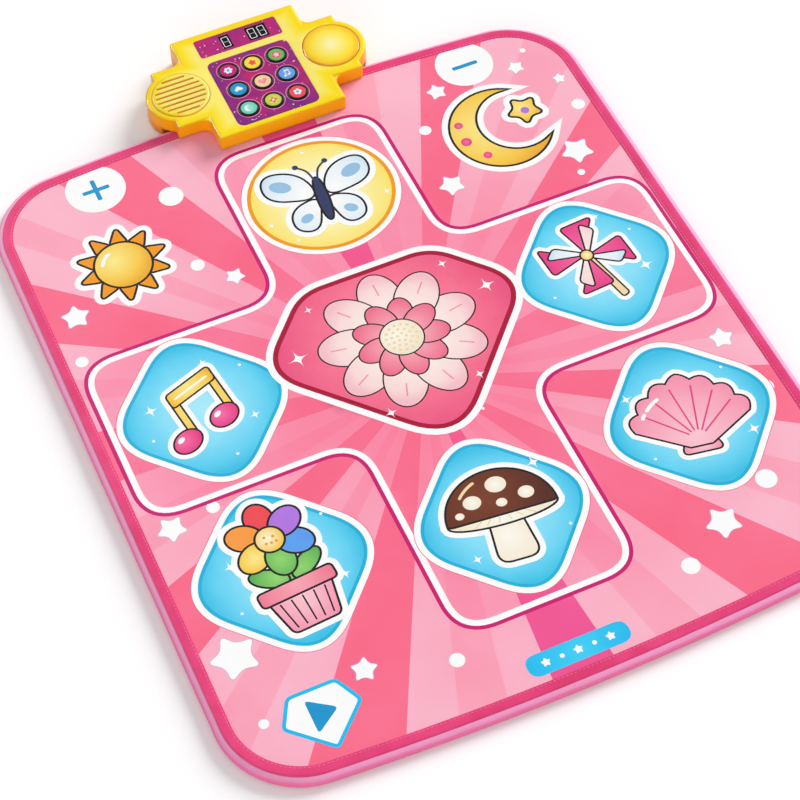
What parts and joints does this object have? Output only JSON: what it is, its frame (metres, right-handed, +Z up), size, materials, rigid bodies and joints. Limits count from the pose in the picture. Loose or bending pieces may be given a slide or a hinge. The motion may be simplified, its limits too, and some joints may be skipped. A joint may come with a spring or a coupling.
{
  "type": "dance mat",
  "caption": "Padded floor dance mat with sewn rounded edges, touch films inside, and a moulded control console with speaker grille, digit display and press buttons.",
  "frame": {"origin": "centre of the bounding box on the floor plane, under the mat", "axes": "+Z up from the floor, +Y from the player's edge to the console, +X to the player's right"},
  "size_m": [0.8106, 1.0853, 0.0388],
  "materials": {
    "printed_cover": "coated woven cover, satin print",
    "border_tape": "woven tape, matt",
    "side_fabric": "padded side wall, matt",
    "underside_fabric": "dotted anti-slip cloth, matt",
    "foam": "closed-cell foam",
    "sensor_film": "clear film with printed tracks",
    "yellow_plastic": "gloss moulding",
    "base_plastic": "satin moulding",
    "label_print": "gloss printed film",
    "black_plastic": "satin moulding",
    "dark_rubber": "matt",
    "grey_silicone": "matt",
    "board_green": "solder mask",
    "steel": "bright zinc",
    "cell_skin": "printed sleeve",
    "speaker_paper": "pressed paper"
  },
  "bodies": {
    "mat_and_console": {"top_cover": "printed_cover", "border_tape": "border_tape", "edge_roll": "side_fabric", "bottom_cover": "underside_fabric", "cushion_foam": "foam", "spacer_foam": "foam", "lower_sensor_film": "sensor_film", "upper_sensor_film": "sensor_film", "sensor_tail": "sensor_film", "retainer_plate": "black_plastic", "console_base": "base_plastic", "console_shell": "yellow_plastic", "display_label": "label_print", "keypad_label": "label_print", "rubber_keypad": "grey_silicone", "circuit_board": "board_green", "level_digit": "black_plastic", "score_digits": "black_plastic", "tail_connector": "black_plastic", "speaker_clamp": "black_plastic", "round_button_switch": "black_plastic", "power_switch_body": "black_plastic", "speaker_frame": "steel", "speaker_magnet": "steel", "round_button_spring": "steel", "retainer_screw_left": "steel", "retainer_screw_right": "steel", "speaker_cone": "speaker_paper", "battery_cell_1": "cell_skin", "battery_cell_2": "cell_skin", "battery_cell_3": "cell_skin", "battery_spring_1": "steel", "battery_spring_2": "steel", "battery_spring_3": "steel", "battery_plate_1": "steel", "battery_plate_2": "steel", "battery_plate_3": "steel", "housing_screw_1": "steel", "housing_screw_2": "steel", "housing_screw_3": "steel", "housing_screw_4": "steel", "rubber_foot_1": "dark_rubber", "rubber_foot_2": "dark_rubber", "rubber_foot_3": "dark_rubber", "rubber_foot_4": "dark_rubber"},
    "mode_button_1": {"mode_button_1": "black_plastic"},
    "mode_button_2": {"mode_button_2": "black_plastic"},
    "mode_button_3": {"mode_button_3": "black_plastic"},
    "mode_button_4": {"mode_button_4": "black_plastic"},
    "mode_button_5": {"mode_button_5": "black_plastic"},
    "mode_button_6": {"mode_button_6": "black_plastic"},
    "mode_button_7": {"mode_button_7": "black_plastic"},
    "mode_button_8": {"mode_button_8": "black_plastic"},
    "mode_button_9": {"mode_button_9": "black_plastic"},
    "round_button": {"round_button": "yellow_plastic"},
    "power_slider": {"power_slider": "black_plastic"},
    "battery_door": {"battery_door": "base_plastic", "battery_door_screw": "steel"}
  },
  "joints": [
    {"name": "mode_button_1_press", "type": "slide", "parent": "mat_and_console", "child": "mode_button_1", "axis": [0, 0, -1], "range_m": [0, 0.001], "stiffness_N_per_m": 300, "springref_m": -0.001, "deforming": ["rubber_keypad"]},
    {"name": "mode_button_2_press", "type": "slide", "parent": "mat_and_console", "child": "mode_button_2", "axis": [0, 0, -1], "range_m": [0, 0.001], "stiffness_N_per_m": 300, "springref_m": -0.001, "deforming": ["rubber_keypad"]},
    {"name": "mode_button_3_press", "type": "slide", "parent": "mat_and_console", "child": "mode_button_3", "axis": [0, 0, -1], "range_m": [0, 0.001], "stiffness_N_per_m": 300, "springref_m": -0.001, "deforming": ["rubber_keypad"]},
    {"name": "mode_button_4_press", "type": "slide", "parent": "mat_and_console", "child": "mode_button_4", "axis": [0, 0, -1], "range_m": [0, 0.001], "stiffness_N_per_m": 300, "springref_m": -0.001, "deforming": ["rubber_keypad"]},
    {"name": "mode_button_5_press", "type": "slide", "parent": "mat_and_console", "child": "mode_button_5", "axis": [0, 0, -1], "range_m": [0, 0.001], "stiffness_N_per_m": 300, "springref_m": -0.001, "deforming": ["rubber_keypad"]},
    {"name": "mode_button_6_press", "type": "slide", "parent": "mat_and_console", "child": "mode_button_6", "axis": [0, 0, -1], "range_m": [0, 0.001], "stiffness_N_per_m": 300, "springref_m": -0.001, "deforming": ["rubber_keypad"]},
    {"name": "mode_button_7_press", "type": "slide", "parent": "mat_and_console", "child": "mode_button_7", "axis": [0, 0, -1], "range_m": [0, 0.001], "stiffness_N_per_m": 300, "springref_m": -0.001, "deforming": ["rubber_keypad"]},
    {"name": "mode_button_8_press", "type": "slide", "parent": "mat_and_console", "child": "mode_button_8", "axis": [0, 0, -1], "range_m": [0, 0.001], "stiffness_N_per_m": 300, "springref_m": -0.001, "deforming": ["rubber_keypad"]},
    {"name": "mode_button_9_press", "type": "slide", "parent": "mat_and_console", "child": "mode_button_9", "axis": [0, 0, -1], "range_m": [0, 0.001], "stiffness_N_per_m": 300, "springref_m": -0.001, "deforming": ["rubber_keypad"]},
    {"name": "round_button_press", "type": "slide", "parent": "mat_and_console", "child": "round_button", "axis": [0, 0, -1], "range_m": [0, 0.0025], "stiffness_N_per_m": 350, "springref_m": -0.003, "deforming": ["round_button_spring"]},
    {"name": "power_switch_slide", "type": "slide", "parent": "mat_and_console", "child": "power_slider", "axis": [1, 0, 0], "range_m": [0, 0.004]},
    {"name": "battery_door_hinge", "type": "hinge", "parent": "mat_and_console", "child": "battery_door", "pos_m": [0, 0.5149, 0.0022], "axis": [1, 0, 0], "range_deg": [0, 70]}
  ]
}
